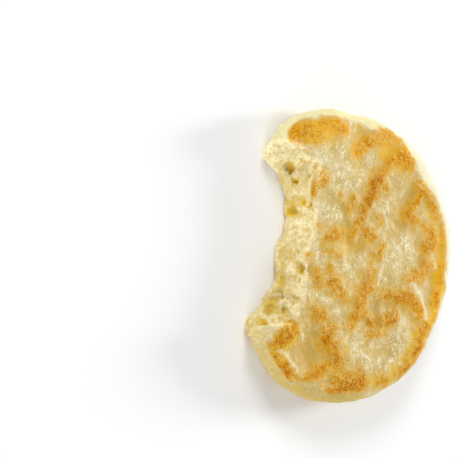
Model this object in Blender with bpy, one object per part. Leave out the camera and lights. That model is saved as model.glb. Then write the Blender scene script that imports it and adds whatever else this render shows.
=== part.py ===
"""A thick blini with one bite taken out of it, lying on its underside.

Metres, +Z up. The browned face is up and the bite is on the -Y side. The origin is under
the middle of the bounding box, on the surface that the blini lies on.
"""

import math

import bmesh
import bpy
import numpy as np
from mathutils import Vector, noise

MM = 0.001

# The whole round blini, before the bite. Places below are (x, y) from its middle.
RADIUS = 44.7 * MM
THICKNESS = 12.0 * MM
RIM_DEPTH = 7.0 * MM  # the edge rounds over this far in from the outline
RIM_FULLNESS = 2.25  # exponent of the rim's curve: 2 is an ellipse, more is squarer
MIDDLE = Vector((0.25 * MM, -5.2 * MM, 0.0))  # sets the bitten blini's box over the origin

# The outline isn't a true circle: (bearing in degrees from +X, width in degrees, swell).
OUTLINE_SWELLS = (
    (30.0, 14.0, 0.4 * MM),
    (70.0, 15.0, -0.9 * MM),
    (104.0, 14.0, 0.6 * MM),
    (138.0, 12.0, 0.4 * MM),
    (175.0, 6.0, -0.8 * MM),
    (188.0, 7.0, 0.9 * MM),
    (204.0, 9.0, 1.2 * MM),
    (225.0, 13.0, -3.0 * MM),
    (304.0, 19.0, -4.0 * MM),
)

# Broad forms of the upper face: (x, y, radius, height), a hollow where height is negative.
FACE_FORMS = (
    (-36 * MM, -14 * MM, 9 * MM, 1.3 * MM),  # raised lobe beside the bite
    (-36 * MM, 4.5 * MM, 4.5 * MM, -1.5 * MM),  # smooth hollow next to the lobe
    (-17 * MM, 22 * MM, 5.5 * MM, -0.9 * MM),  # slanting valley, upper end
    (-10 * MM, 17 * MM, 5.0 * MM, -0.7 * MM),  # slanting valley, lower end
    (-5 * MM, -1 * MM, 5.5 * MM, -0.6 * MM),  # hollow in the middle
    (28 * MM, -17 * MM, 6.0 * MM, -0.9 * MM),  # round hollow by the far horn
    (-30 * MM, 20 * MM, 8.0 * MM, 0.5 * MM),  # swelling along the browned rim
    (13 * MM, 20 * MM, 7.0 * MM, 0.8 * MM),  # swelling under the long browned band
    (27 * MM, -4 * MM, 5.0 * MM, 0.8 * MM),  # swelling beside the round hollow
    (30 * MM, 12 * MM, 8.0 * MM, -0.5 * MM),  # shallow hollows inside the browned rim
    (4 * MM, 30 * MM, 7.0 * MM, -0.4 * MM),
)
CREASE_FROM = Vector((-46 * MM, 0.3 * MM))  # the fold between the lobe and its hollow
CREASE_TO = Vector((-33 * MM, 0.8 * MM))
CREASE_WIDTH = 2.1 * MM
CREASE_DEPTH = 1.2 * MM
CREASE_RUN_OUT = 1.3  # the fold fades away at this share of its length
WAVE_LENGTH = 13 * MM  # gentle unevenness everywhere on the face and the rim
WAVE_HEIGHT = 0.35 * MM
RELIEF_FROM = 0.375  # the face's forms fade out down the rim, at this share of the thickness
SECTION_POINTS = 200  # how finely the section's curve is read

# The torn edge of the bite from above, in millimetres: at the underside, then at the skin.
BITE_LOWER_EDGE = (
    (-40, -44), (-38, -29), (-34.5, -26.5), (-31.5, -28), (-29, -25.5), (-26, -20.5), (-20, -17.5),
    (-15, -16.5), (-9, -18), (-2, -20), (6, -21), (11, -23.5), (15, -27), (18.5, -31),
    (20.5, -33), (23.3, -34.6), (24.5, -44),
)
BITE_UPPER_EDGE = (
    (-40, -44), (-38, -30), (-35, -27), (-33.5, -22), (-30.5, -14.5), (-25, -11.8), (-20, -14.3),
    (-12, -14.4), (-4, -16), (3, -16.6), (9, -19.3), (15, -21.3), (20, -22.5), (19.5, -27),
    (20.8, -33.5), (23.3, -35), (24.5, -44),
)
BITE_STEP = 1.6 * MM  # spacing of the torn wall's points
BITE_COLUMNS = 75
CRAG_SIZES = ((7.5 * MM, 2.0 * MM), (3.3 * MM, 1.4 * MM))  # (length, height) of the crags
CRAG_SHIFT = Vector((0.05, 0.0, 0.0))  # where the crags are read for their sideways part

# Larger bubbles torn open in the crumb: (share along the bite, height in mm, radius in mm).
CRUMB_BUBBLES = (
    (0.325, 4.5, 2.2),
    (0.375, 5.1, 1.5),
    (0.355, 8.0, 1.3),
    (0.440, 8.6, 1.3),
    (0.470, 3.2, 1.5),
    (0.560, 8.7, 1.2),
    (0.600, 5.6, 1.4),
    (0.625, 9.0, 1.5),
    (0.665, 4.2, 1.5),
    (0.720, 5.0, 2.3),
    (0.745, 8.8, 1.4),
    (0.775, 4.6, 1.7),
)


def smooth_step(value):
    """0 below 0, 1 above 1, and a smooth rise between them."""
    held = min(max(value, 0.0), 1.0)
    return held * held * (3.0 - 2.0 * held)


def half_section():
    """Radius and height from the middle of the top, round the rim, to the middle below."""
    flat = RADIUS - RIM_DEPTH
    turn = np.linspace(math.pi / 2, -math.pi / 2, SECTION_POINTS)
    power = 2.0 / RIM_FULLNESS
    rim_radius = flat + RIM_DEPTH * np.abs(np.cos(turn)) ** power
    rim_height = THICKNESS / 2 * (1 + np.sign(np.sin(turn)) * np.abs(np.sin(turn)) ** power)
    inward = np.linspace(0.0, flat, SECTION_POINTS, endpoint=False)
    radius = np.concatenate([inward, rim_radius, inward[::-1]])
    top, underside = np.full_like(inward, THICKNESS), np.zeros_like(inward)
    height = np.concatenate([top, rim_height, underside])
    return radius, height


def outline_swell(bearing):
    """How far the outline stands out beyond RADIUS at this bearing."""
    swell = 0.0
    for middle, width, amount in OUTLINE_SWELLS:
        away = (math.degrees(bearing) - middle + 180.0) % 360.0 - 180.0
        swell += amount * math.exp(-((away / width) ** 2))
    return swell


def crease_depth(x, y):
    """A fold that runs in from the outline and fades."""
    along = CREASE_TO - CREASE_FROM
    share = (Vector((x, y)) - CREASE_FROM).dot(along) / along.length_squared
    if not 0.0 < share < CREASE_RUN_OUT:
        return 0.0
    side = (y - CREASE_FROM.y - share * along.y) / CREASE_WIDTH
    return CREASE_DEPTH * math.exp(-(side**2)) * smooth_step(CREASE_RUN_OUT - share)


def face_relief(x, y):
    """Height of the upper face's broad forms at this place."""
    height = -crease_depth(x, y)
    for form_x, form_y, radius, amount in FACE_FORMS:
        away = math.hypot(x - form_x, y - form_y)
        height += amount * math.exp(-((away / radius) ** 2))
    return height


def shape_body(mesh):
    """Spread a unit ball's points evenly over the blini's section, then make it uneven."""
    radius, height = half_section()
    strips = np.hypot(np.diff(radius), np.diff(height)) * (radius[1:] + radius[:-1])
    area_share = np.concatenate([[0.0], np.cumsum(strips)]) / strips.sum()
    for vert in mesh.verts:
        bearing = math.atan2(vert.co.y, vert.co.x)
        share = (1.0 - vert.co.z) / 2.0
        out = float(np.interp(share, area_share, radius))
        up = float(np.interp(share, area_share, height))
        out *= 1.0 + outline_swell(bearing) / RADIUS
        x, y = out * math.cos(bearing), out * math.sin(bearing)
        above = smooth_step((up / THICKNESS - RELIEF_FROM) / (1.0 - RELIEF_FROM))
        wave = noise.noise(Vector((x, y, up)) / WAVE_LENGTH) * WAVE_HEIGHT
        lift = above * (face_relief(x, y) + wave)
        vert.co = Vector((x, y, up + lift)) + MIDDLE


def along_path(points, share):
    """The place at this share of the way along a path, by straight runs."""
    corners = np.array(points) * MM
    steps = np.hypot(*np.diff(corners, axis=0).T)
    reach = np.concatenate([[0.0], np.cumsum(steps)]) / steps.sum()
    return Vector((np.interp(share, reach, corners[:, 0]), np.interp(share, reach, corners[:, 1])))


def crag(place):
    """How far the torn wall stands out at this place."""
    return sum(noise.noise(place / length) * height for length, height in CRAG_SIZES)


def torn_wall(share, height):
    """A place on the torn wall, by its share of the way along the bite and its height."""
    lower = along_path(BITE_LOWER_EDGE, share)
    upper = along_path(BITE_UPPER_EDGE, share)
    edge = lower.lerp(upper, smooth_step(height / THICKNESS))
    place = Vector((edge.x, edge.y, height))
    across = 0.5 * crag(place + CRAG_SHIFT)
    return place + Vector((across, -crag(place), 0.0)) + MIDDLE


def make_bite_cutter(collection):
    """A loft from the lower torn edge to the upper one, closed far outside the rim."""
    low, high = -2 * MM, THICKNESS + 4 * MM
    rows = round((high - low) / BITE_STEP)
    outside = Vector((0.0, -30 * MM, 0.0))
    mesh = bmesh.new()
    rings = []
    for row in range(rows + 1):
        height = low + (high - low) * row / rows
        wall = [torn_wall(column / BITE_COLUMNS, height) for column in range(BITE_COLUMNS + 1)]
        wall += [wall[-1] + outside, wall[0] + outside]
        rings.append([mesh.verts.new(place) for place in wall])
    for below, above in zip(rings, rings[1:]):
        for left in range(len(below)):
            right = (left + 1) % len(below)
            mesh.faces.new((below[left], below[right], above[right], above[left]))
    ends = [mesh.faces.new(rings[0]), mesh.faces.new(rings[-1])]
    bmesh.ops.triangulate(mesh, faces=ends)
    bmesh.ops.recalc_face_normals(mesh, faces=mesh.faces)
    return add_object("bite_cutter", mesh, collection)


def make_bubble_cutters(collection):
    """Small uneven balls that open the larger bubbles in the torn crumb."""
    mesh = bmesh.new()
    for number, (share, height, radius) in enumerate(CRUMB_BUBBLES):
        made = bmesh.ops.create_icosphere(mesh, subdivisions=2, radius=radius * MM)
        place = torn_wall(share, height * MM)
        for vert in made["verts"]:
            uneven = noise.noise(vert.co / (2.5 * MM) + Vector((number * 3.7, 0.0, 0.0)))
            vert.co *= 1.0 + 0.5 * uneven
            vert.co = Vector((vert.co.x * 1.25, vert.co.y, vert.co.z * 0.85)) + place
    return add_object("bubble_cutters", mesh, collection)


def add_object(name, mesh, collection):
    """Turn a bmesh into an object in this collection."""
    data = bpy.data.meshes.new(name)
    mesh.to_mesh(data)
    mesh.free()
    made = bpy.data.objects.new(name, data)
    collection.objects.link(made)
    return made


def make_material():
    """Pale yellow, soft and slightly greasy."""
    material = bpy.data.materials.new("blini_crumb_and_crust")
    material.use_nodes = True
    shader = material.node_tree.nodes["Principled BSDF"]
    shader.inputs["Base Color"].default_value = (0.76, 0.58, 0.26, 1.0)
    shader.inputs["Roughness"].default_value = 0.5
    shader.inputs["Metallic"].default_value = 0.0
    return material


def cut(body, cutter):
    """Subtract the cutter from the body."""
    cutter.hide_render = True
    cutter.display_type = "WIRE"
    modifier = body.modifiers.new(cutter.name, "BOOLEAN")
    modifier.operation = "DIFFERENCE"
    modifier.solver = "EXACT"
    modifier.object = cutter


def main():
    for left_over in list(bpy.data.objects):
        bpy.data.objects.remove(left_over, do_unlink=True)
    parts = bpy.data.collections.new("bitten_blini")
    cutters = bpy.data.collections.new("cutters")
    bpy.context.scene.collection.children.link(parts)
    bpy.context.scene.collection.children.link(cutters)

    mesh = bmesh.new()
    bmesh.ops.create_icosphere(mesh, subdivisions=5, radius=1.0)
    shape_body(mesh)
    blini = add_object("blini", mesh, parts)
    blini.data.materials.append(make_material())
    blini.data.shade_smooth()
    cut(blini, make_bite_cutter(cutters))
    cut(blini, make_bubble_cutters(cutters))


main()
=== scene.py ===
"""The looks of a thick blini with a bite out of it: skin relief, browning, torn crumb, studio.

Metres, +Z up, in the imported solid's own frame: the browned face is up and the bite is on
the -Y side. Places on the face are in millimetres from FACE_START, x away from the raised
lobe and y away from the bite.
"""

import itertools
import math
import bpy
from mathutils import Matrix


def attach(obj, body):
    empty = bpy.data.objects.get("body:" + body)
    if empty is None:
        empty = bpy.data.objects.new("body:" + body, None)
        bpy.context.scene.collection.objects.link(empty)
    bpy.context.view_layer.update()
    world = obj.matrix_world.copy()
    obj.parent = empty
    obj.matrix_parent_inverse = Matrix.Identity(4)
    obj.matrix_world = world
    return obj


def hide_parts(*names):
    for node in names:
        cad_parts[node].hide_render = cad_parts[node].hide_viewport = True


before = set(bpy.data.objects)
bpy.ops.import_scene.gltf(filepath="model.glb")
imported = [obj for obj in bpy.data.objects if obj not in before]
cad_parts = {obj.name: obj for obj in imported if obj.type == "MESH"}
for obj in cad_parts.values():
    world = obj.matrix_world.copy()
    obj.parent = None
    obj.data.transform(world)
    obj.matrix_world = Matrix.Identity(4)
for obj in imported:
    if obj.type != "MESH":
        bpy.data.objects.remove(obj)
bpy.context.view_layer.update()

from types import SimpleNamespace

import bmesh
import bpy
import numpy as np
from mathutils import Matrix, Vector
from mathutils.bvhtree import BVHTree
from mathutils.kdtree import KDTree

MM = 0.001

# Sizes
THICKNESS = 12.0 * MM
FACE_START = np.array((0.25, -6.7, 0.0)) * MM
FACE_HEIGHT = 11.5 * MM
UNDERSIDE_HEIGHT = 0.35 * MM
NEAR_SIDE = np.array((0.0, 0.8))  # mm: the side of a ridge toward the bite takes more colour, as painted shade; painted highlights lie the other way

# Fineness of the meshes
COARSE_VOXEL = 0.8 * MM
FINE_VOXEL = 0.4 * MM
BUBBLE_VOXEL = 0.22 * MM
UNDERSIDE_SHARE = 0.18  # of the flat underside's faces, which carry no relief
EDGE_SAMPLES = 260
POINTS_AT_ONCE = 4000

# Bubbles at random places in the crumb
SEED = 7
BUBBLES = 50
BUBBLE_TRIES = 900

# The photograph's view of the blini: its middle shows at this pixel of a square frame.
PHOTO_PIXELS = 458
MIDDLE_PIXEL = (336.0, 256.6)
MIDDLE_PLACE = Vector((0.25, -6.7, 6.0)) * MM
CAMERA_DISTANCE = 390.8 * MM
CAMERA_ELEVATION = 50.0  # degrees
LENS = 100.0  # mm
SENSOR = 36.0  # mm
FOCAL = LENS / SENSOR * PHOTO_PIXELS  # pixels
HALF_FRAME = PHOTO_PIXELS / 2

# Studio: the floor, the light from all round and the softboxes, as (name, place in metres,
# diameter in metres, power in watts).
FLOOR_HALF = 3.0
FLOOR_GAP = 0.2 * MM
FLOOR_COLOUR = (0.9, 0.9, 0.9)
WORLD_LIGHT = 0.36
LIT_PLACE = Vector((0.0, 0.0, THICKNESS / 2))
SOFTBOXES = (
    ("key", (-0.6, -0.2, 0.4), 0.3, 3.1),
    ("front", (0.05, -0.7, 0.75), 0.5, 1.4),
    ("sheen", (-0.1, 0.9, 0.28), 0.3, 8.0),
    ("fill", (0.75, -0.42, 0.26), 0.5, 4.5),
)

# The torn edge of the bite on the underside and on the face, in mm from the round's middle,
# as in the solid.
ROUND_MIDDLE = np.array((0.25, -5.2)) * MM
BITE_LOWER_EDGE = (
    (-40, -44), (-38, -29), (-34.5, -26.5), (-31.5, -28), (-29, -25.5), (-26, -20.5), (-20, -17.5),
    (-15, -16.5), (-9, -18), (-2, -20), (6, -21), (11, -23.5), (15, -27), (18.5, -31),
    (20.5, -33), (23.3, -34.6), (24.5, -44),
)
BITE_UPPER_EDGE = (
    (-40, -44), (-38, -30), (-35, -27), (-33.5, -22), (-30.5, -14.5), (-25, -11.8), (-20, -14.3),
    (-12, -14.4), (-4, -16), (3, -16.6), (9, -19.3), (15, -21.3), (20, -22.5), (19.5, -27),
    (20.8, -33.5), (23.3, -35), (24.5, -44),
)

# Browned strokes on the face: (strength, width in mm, places along it).
BROWNED = (
    # raised lobe beside the bite
    (0.72, 5.2, ((-36.4, -21.5), (-36.8, -17.5), (-36.9, -13.5))),
    (0.70, 3.4, ((-37.5, -12), (-39.6, -8.5), (-40.0, -5), (-38.6, -2))),
    (0.70, 2.4, ((-38.0, -4), (-38.0, -0.8))),
    # between the lobe and the far rim
    (0.75, 3.0, ((-32.5, 4.5), (-34, 7), (-35.2, 10), (-35.8, 13.5))),
    (0.65, 4.0, ((-38.6, 13.8), (-37.6, 16.8), (-35.8, 19.8))),
    (0.60, 3.2, ((-35.8, 20.0), (-33.4, 21.2), (-32.6, 23.5))),
    (0.80, 4.2, ((-32.6, 21.8), (-31.2, 23.6), (-29.6, 24.8))),
    (0.60, 3.0, ((-29.4, 25.6), (-27, 25.4))),
    # long ridge down to the middle
    (0.80, 2.6, ((-30.5, 23), (-30, 20), (-29.2, 16.5))),
    (0.80, 2.6, ((-29.2, 16.5), (-27, 15.3), (-24.5, 12.8))),
    (1.00, 3.4, ((-24.5, 12.8), (-21.5, 11.3), (-19, 9.6))),
    (0.70, 3.2, ((-23.5, 13.5), (-21, 15.5))),
    (0.95, 2.6, ((-19, 9.6), (-16.5, 8.2))),
    (0.85, 2.6, ((-15.5, 7), (-13, 6), (-11, 5.2))),
    (0.65, 2.2, ((-11, 5.2), (-8.5, 3), (-6, 1.8))),
    # far rim, from the top round to the bottom
    (0.35, 2.6, ((-23.4, 29.8), (-22.8, 31.2))),
    (0.85, 3.2, ((-22.4, 30.4), (-21.0, 31.8), (-19.2, 33.4))),
    (0.70, 2.4, ((-19, 33.4), (-15.6, 35.6), (-12.8, 37.2))),
    (0.50, 1.8, ((-10, 39.6), (-6, 40.0))),
    (0.50, 2.0, ((-4, 40.0), (-0.5, 40.2))),
    (0.70, 2.2, ((2.6, 39.6), (5.9, 39.2), (9, 38.8))),
    (0.80, 2.2, ((11.6, 37.8), (15.4, 36.8))),
    (0.60, 2.2, ((18, 36.4), (19.4, 35.6))),
    (0.80, 2.8, ((22.4, 33.2), (23.4, 31.8))),
    (0.85, 2.4, ((26, 30.2), (28.1, 28.9), (31, 27.2))),
    (0.85, 2.4, ((33, 25.8), (34.6, 23.8), (35.4, 22.3))),
    (0.60, 2.4, ((36.2, 21), (36.8, 20.2))),
    (0.55, 3.0, ((38.4, 15.5), (38.4, 13))),
    # hook inside the far rim
    (0.80, 1.9, ((-20, 31.2), (-18, 29.4), (-16, 27.4))),
    (0.70, 2.0, ((-16, 27.4), (-13.6, 24.8))),
    (0.80, 2.6, ((-13.6, 24.4), (-11.8, 26), (-11.4, 28.4))),
    # blotches inside the right rim
    (0.62, 3.0, ((-9.6, 33), (-8, 35.2), (-4.2, 35.4))),
    (0.95, 3.4, ((-4.2, 35.4), (-3, 33.5))),
    (0.60, 2.6, ((-3, 33.5), (0, 33.5))),
    (0.90, 3.0, ((2.6, 33.8), (4.4, 31.2), (6, 28.4))),
    (0.60, 3.0, ((6, 28.4), (7.6, 25.2))),
    # middle of the face
    (0.60, 2.6, ((-7.5, 7.4), (-5.6, 8.6), (-6, 10.8))),
    (0.90, 2.8, ((-5.8, 7.8), (-6.2, 10))),
    (0.60, 2.6, ((-3.2, 14.2), (-0.8, 12.4))),
    (0.55, 2.6, ((-12.5, 12.2), (-10.5, 13.4))),
    (0.85, 2.2, ((-17.4, 2.6), (-16.4, 2.8))),
    (0.45, 2.4, ((-18.2, -3.6), (-17.6, -1.8))),
    (0.65, 1.8, ((-15.6, 0.2), (-12.6, 0.4))),
    (0.65, 3.0, ((-23.6, -8.8), (-22.6, -9.0))),
    (0.85, 2.6, ((-21.2, -12.6), (-18.6, -13.4))),
    # left of the middle
    (0.40, 2.6, ((-9.8, -11.4), (-7.4, -9.6))),
    (0.70, 3.0, ((-6.4, -8), (-6.6, -5), (-6.8, -3))),
    (0.50, 2.4, ((-2.2, -8.2), (-0.8, -5.8))),
    (0.40, 2.2, ((-0.8, -3.6), (-0.2, -2.2))),
    (0.80, 2.0, ((-0.4, -14.8), (0.2, -14.4))),
    (0.75, 2.4, ((5.0, -12.4), (6.4, -11.2), (7.8, -10.8))),
    (0.45, 2.0, ((4.0, -13.0), (4.8, -12.4))),
    (0.90, 3.0, ((6.6, -6.6), (8.4, -5), (9.2, -4.2))),
    (0.80, 2.4, ((9.2, -4.2), (11, -2.2), (12.6, -0.8))),
    (0.55, 2.4, ((2.6, -7.2), (4.6, -6.4))),
    # stem that runs down from the middle
    (0.62, 4.6, ((5, 9.2), (6.5, 8.4), (9.5, 7.8))),
    (0.70, 3.8, ((9.5, 7.4), (12.5, 5.4), (16, 4.4))),
    (0.85, 2.6, ((16, 4.6), (19, 3.0), (21.4, 0.8))),
    (0.70, 1.7, ((10.6, 8.0), (13.6, 6.4))),
    (0.80, 1.9, ((14, 4.8), (18, 4))),
    # long band and the strong patches under it
    (0.80, 2.8, ((12.2, 12.6), (12, 16), (12.6, 19.6))),
    (1.10, 3.0, ((12.6, 20.6), (12.8, 24), (13.4, 26.4))),
    (0.80, 2.6, ((13.4, 26.4), (15.6, 28.4), (18.4, 30))),
    (0.80, 2.4, ((18.2, 7.6), (19.6, 8.6), (20.6, 9.6))),
    (1.05, 3.0, ((19.6, 12.8), (19.8, 16), (18.6, 18.6))),
    (0.80, 2.8, ((22.8, 13.8), (23, 11), (23.6, 8.4))),
    (0.60, 2.2, ((20.8, 12), (22.4, 12.6))),
    # far horn
    (0.85, 3.2, ((15.8, -13.2), (17.2, -11.2), (17.6, -10.2))),
    (0.95, 3.2, ((21.2, -20.8), (22.4, -22.6), (23.6, -24.4))),
    (0.80, 2.6, ((23.6, -24.4), (25.4, -27.4), (27.6, -29.4))),
    (0.80, 2.6, ((27.6, -29.4), (29.6, -27.4), (31.6, -25.2))),
    (1.00, 3.0, ((31.6, -25.2), (33.4, -23.6), (34.4, -22.2))),
    (0.60, 2.2, ((34.6, -22), (35.6, -18.6), (36, -15))),
    # between the far horn and the lower rim
    (0.95, 4.2, ((22.4, -7.4), (24.6, -7.8), (26.4, -6.4))),
    (0.85, 3.0, ((26.4, -6.4), (29.4, -4.4), (32, -3.4))),
    (0.60, 2.6, ((20.6, -4.8), (22.4, -6))),
    (0.35, 3.0, ((25, -3.4), (28, -1.2), (31, 0.2))),
    (0.65, 2.2, ((32, -3.4), (32.4, -7), (33.4, -9.6))),
    (0.70, 2.8, ((33.8, -10.2), (35.4, -12), (36, -14.6))),
    (0.75, 3.0, ((36.2, -4.2), (38.2, -2.4), (38.8, 0))),
    (1.15, 4.0, ((38.2, -1), (38.4, 2), (38.0, 4.4))),
    (0.85, 2.4, ((39.6, -9), (39.9, -5), (40.2, -1))),
    (0.55, 2.2, ((38.4, 4.4), (39, 8))),
)

# Thin ridges that catch the light, raised and painted with highlights, in the same form.
GLINT_RIDGES = (
    (1.0, 1.3, ((7.6, 26.2), (10, 28.3), (12.2, 29.6), (16, 31.4), (20, 32.6))),
    (0.8, 1.2, ((-0.2, 35), (1.6, 35.4), (3.2, 36.3))),
    (0.6, 1.1, ((-12.2, 30.2), (-11, 32))),
    (0.5, 1.2, ((-5.2, 18), (-3.6, 19.4), (-2.4, 20.6))),
    (0.5, 1.6, ((-4.6, 22.6), (-3, 24.2))),
    (0.8, 1.2, ((2.4, 10.2), (3.4, 12), (5, 13.1), (8, 12.2))),
    (0.6, 1.2, ((-13.8, 14.2), (-12, 15.4), (-9, 15.6))),
    (0.8, 1.2, ((-24.4, 16.8), (-21, 16.4))),
    (0.2, 1.2, ((4, -3), (8, -0.6), (12, 3))),
    (0.25, 1.2, ((2, 0), (5, 2.2), (8, 5))),
    (0.9, 1.3, ((26.8, -26.2), (29.3, -22.9), (34.4, -19.2))),
    (0.7, 1.2, ((21.6, -18.4), (24.6, -17))),
    (0.55, 1.6, ((21, -5), (25, -4.6), (29.9, -1.9), (36.4, 1.2))),
    (0.8, 1.4, ((-44, 0), (-40, 1.2), (-36.5, -0.2))),
    (0.7, 3.2, ((-32, -14.4), (-30.4, -12.4))),
)

# Smooth, recessed, olive places beside the ridges, in the same form.
SMOOTH_PLACES = (
    (1.2, 9.0, ((26, -17), (30.5, -15))),
    (1.2, 5.0, ((-20.5, 27.2), (-14, 22.4), (-8.5, 18.8))),
    (0.6, 5.0, ((-42, 7), (-36, 5.2), (-31.5, 3.4))),
    (1.1, 4.4, ((-8, -0.4), (-4, 0.6), (-2.4, 2.4), (-3.4, 4.6))),
    (0.6, 3.2, ((-3, 8), (0.6, 10.2))),
    (0.6, 3.0, ((7, 0.8), (9.4, 3.4))),
    (0.65, 5.0, ((-10, 29), (-5, 30), (-1, 30))),
    (1.0, 5.0, ((7, 36.4), (12, 35.4), (18, 34.4))),
    (0.8, 4.4, ((14.4, 23.4), (18.4, 26.4), (22.4, 27.6))),
    (0.6, 3.6, ((14, 1.6), (17.4, 1.2))),
    (0.6, 3.4, ((-25, 19), (-21, 19.6))),
    (0.5, 3.2, ((13, -3), (17, -1))),
    (0.5, 4.0, ((5.6, 17), (7, 22))),
    (0.6, 3.0, ((28, 8), (30, 13), (29, 17))),
)

# Warm yellow places, most of them near the rim, in the same form.
AMBER_PLACES = (
    (1.0, 6.0, ((-33, 15.5), (-30.5, 19), (-30, 24.5))),
    (0.6, 5.0, ((-17.5, 32), (-15, 34), (-11, 36))),
    (1.0, 4.4, ((-6, 39.2), (0, 39.4), (6, 38.6))),
    (0.95, 3.4, ((10, 38.0), (16, 37.0), (21, 34.4))),
    (0.35, 4.0, ((-2, 1), (-4, 4), (-6.4, 6))),
    (0.35, 4.0, ((-0.6, 8.6), (0.4, 10.2))),
    (0.8, 5.0, ((24, 30), (29, 27), (33.5, 22.5))),
    (0.7, 5.0, ((36, 19), (38, 14), (38, 9))),
    (0.5, 5.0, ((33.6, -12), (35, -7), (36, -2))),
    (0.8, 5.5, ((23, -23), (27, -27), (32, -25))),
    (1.0, 7.0, ((-36.4, -21), (-36.4, -14), (-38.4, -7))),
    (0.5, 5.0, ((-42, 6), (-38.4, 4.6), (-33, 2.5))),
    (0.6, 4.0, ((-23, 10.5), (-18, 8.2), (-12, 5))),
    (0.5, 5.0, ((-8, -10), (-4, -7), (-3, -3))),
    (0.2, 5.0, ((3, 9), (9, 7), (15, 5))),
    (0.35, 4.4, ((5, -1), (9, 1), (12, 3))),
    (0.35, 7.0, ((-29, 4), (-22, 6))),
    (0.8, 4.4, ((37.4, -3), (38.4, 1), (38.4, 5))),
)

# Where the rim's pale smooth skin reaches up onto the face, in the same form.
RIM_PLACES = (
    (1.0, 4.0, ((20.4, -37), (21, -34.5), (21.6, -33))),
    (1.0, 5.0, ((25.5, -36), (28.5, -33.4), (32, -30), (36, -25.4))),
    (0.9, 4.0, ((38.8, -18.4), (41.6, -10.8), (43.4, -1), (43.2, 5))),
    (1.0, 5.0, ((-42, -28), (-39, -26.4), (-35.5, -25))),
    (1.0, 3.0, ((-42.4, -19), (-44.2, -11), (-44.6, -5), (-43.8, 0))),
    (1.1, 3.6, ((-43.8, 1), (-42.8, 7), (-41.8, 12.6))),
    (1.6, 4.6, ((-43.8, 12), (-42.2, 19.4), (-38.6, 25.2))),
    (1.5, 5.2, ((-38.6, 25.2), (-35.0, 28.8), (-30, 32.9), (-24, 36.8))),
    (1.0, 3.4, ((-24, 36.8), (-19.8, 38.9), (-13.6, 41.4))),
    (1.0, 2.0, ((-13.6, 41.4), (-5.4, 43.1), (2.7, 43.5), (10.7, 42.1), (18.6, 39.4))),
    (1.0, 2.4, ((18.6, 39.4), (26, 35.4), (33, 29.8))),
)

# Soft forms of the torn crumb, where the photograph shows them: (pixel across, pixel down,
# half width and half height in pixels, rise in mm).
SEEN_FORMS = (
    (276, 153, 13, 9, 0.3),
    (289, 162.0, 6, 3.6, 0.3),
    (306, 150, 4, 4, 0.3),
    (315, 165, 5, 4, 0.4),
    (290.5, 182, 3, 4, 0.35),
    (308, 173, 4, 5, 0.3),
    (299, 163, 9, 10, 0.3),
    (297, 175.5, 4, 4, 0.4),
    (280, 178, 6, 8, -0.3),
    (285, 192, 8, 6, 0.5),
    (281, 205, 6, 9, -0.25),
    (294, 203, 8, 6, -0.3),
    (302, 192, 5, 6, 0.4),
    (308.5, 203, 2.6, 4, 0.6),
    (291, 213.5, 9, 4.5, -0.8),
    (295, 225, 10, 6.5, 0.9),
    (286, 236, 5, 6, 0.4),
    (292, 247, 5, 8, 0.3),
    (283, 258, 4, 9, -0.4),
    (290, 270, 5, 8, 0.4),
    (282.5, 283, 4.6, 7, -0.7),
    (291, 291, 7, 5, 0.8),
    (278, 295, 6, 4, 0.5),
    (271, 306.5, 6.5, 7.5, -0.9),
    (281, 302, 3.4, 6, 0.6),
    (283.5, 310, 2.2, 4, -0.8),
    (290, 311, 4, 6, 0.6),
    (274, 317, 8, 2.6, 0.7),
    (264, 323, 4, 2, -0.9),
    (254, 320, 5, 5, 0.5),
)

# Holes in the crumb where the photograph shows them: (pixel across, pixel down, radius in
# mm, stretch across, stretch down).
SEEN_HOLES = (
    (287.0, 169.0, 0.5, 1.7, 0.6),
    (291.4, 170.6, 0.7, 1.3, 0.9),
    (290.0, 173.6, 0.42, 0.9, 1.1),
    (295.6, 182.0, 0.95, 1.3, 0.75),
    (301.2, 161.2, 0.45, 1.0, 1.3),
    (304.6, 162.6, 0.45, 0.9, 1.8),
    (302.7, 168.6, 0.42, 1.0, 1.0),
    (314.8, 167.0, 0.45, 0.9, 1.3),
    (303.8, 203.2, 0.9, 1.1, 1.0),
    (308.5, 207.6, 0.5, 1.8, 0.6),
    (312.6, 210.7, 0.5, 1.0, 0.9),
    (287.3, 227.2, 0.4, 1.0, 1.0),
    (298.0, 252.8, 0.6, 0.9, 1.1),
    (291.6, 258.6, 0.36, 1.0, 1.0),
    (290.4, 261.8, 0.34, 1.0, 1.0),
    (296.5, 263.6, 0.5, 1.2, 0.8),
    (301.7, 271.0, 0.8, 0.9, 1.2),
    (303.8, 275.0, 0.5, 0.9, 1.3),
    (307.3, 278.8, 0.4, 1.2, 0.8),
    (288.4, 291.6, 0.6, 1.5, 0.6),
    (275.5, 292.2, 0.6, 2.0, 0.5),
    (283.4, 309.0, 0.5, 0.6, 1.7),
    (263.6, 323.0, 0.8, 1.9, 0.7),
    (279.3, 318.6, 0.45, 1.2, 1.0),
    (287.0, 316.7, 0.4, 1.2, 1.0),
    (285.4, 322.6, 0.45, 1.4, 0.8),
)

# Painted shade: deeper yellow places in the crumb's shaded hollows and folds, as the forms above,
# with a strength in place of the rise.
SEEN_HOLLOW_SHADE = (
    (289.5, 168.0, 6.5, 6.0, 0.9),
    (284, 181, 6, 5, 0.25),
    (290, 187, 5, 4, 0.3),
    (295.8, 182, 4, 2.6, 0.4),
    (303.5, 202.5, 4.5, 4, 0.6),
    (290, 211, 8, 4, 0.4),
    (301.5, 270, 3, 5, 0.5),
    (281, 282, 4, 7, 0.35),
    (288, 291, 6, 4, 0.45),
    (271, 306, 6, 6, 0.6),
    (283.5, 309, 3, 4, 0.5),
    (259, 322, 7, 3.4, 0.55),
)

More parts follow.
